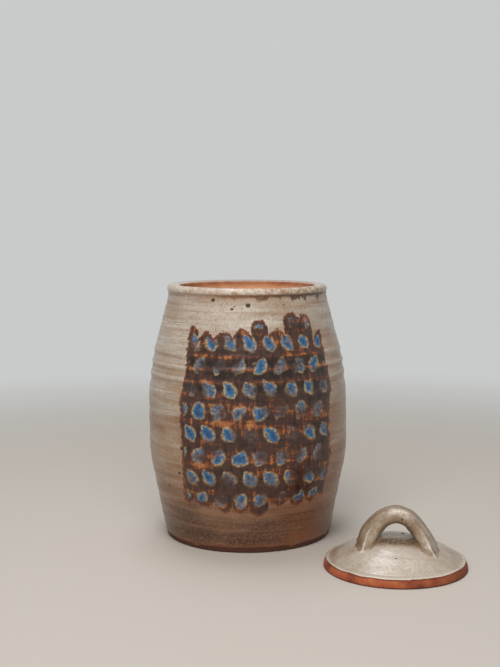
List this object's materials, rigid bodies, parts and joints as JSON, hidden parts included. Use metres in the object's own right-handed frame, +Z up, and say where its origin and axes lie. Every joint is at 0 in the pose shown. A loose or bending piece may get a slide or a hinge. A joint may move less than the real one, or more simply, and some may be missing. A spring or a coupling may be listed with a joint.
{
  "type": "biscuit jar",
  "caption": "Wide-mouthed stoneware storage jar with a barrel-shaped body and a loose domed lid with a pulled strap handle, lid lying beside the jar.",
  "frame": {"origin": "centre of the jar's flat base", "axes": "+Z up along the jar's own axis, -Y to the front, +X to the right as seen from the front"},
  "size_m": [0.2481, 0.2392, 0.21],
  "materials": {
    "ash_glazed_stoneware": "satin ash glaze",
    "ash_glazed_lid": "glossy pale glaze",
    "glazed_strap": "glossy pale glaze"
  },
  "bodies": {
    "jar": {"jar_body": "ash_glazed_stoneware"},
    "lid": {"lid_disc": "ash_glazed_lid", "lid_handle": "glazed_strap"}
  },
  "joints": [
    {"name": "lid_lift", "type": "slide", "parent": "jar", "child": "lid", "axis": [0, 0, 1], "range_m": [0, 0.24]}
  ]
}
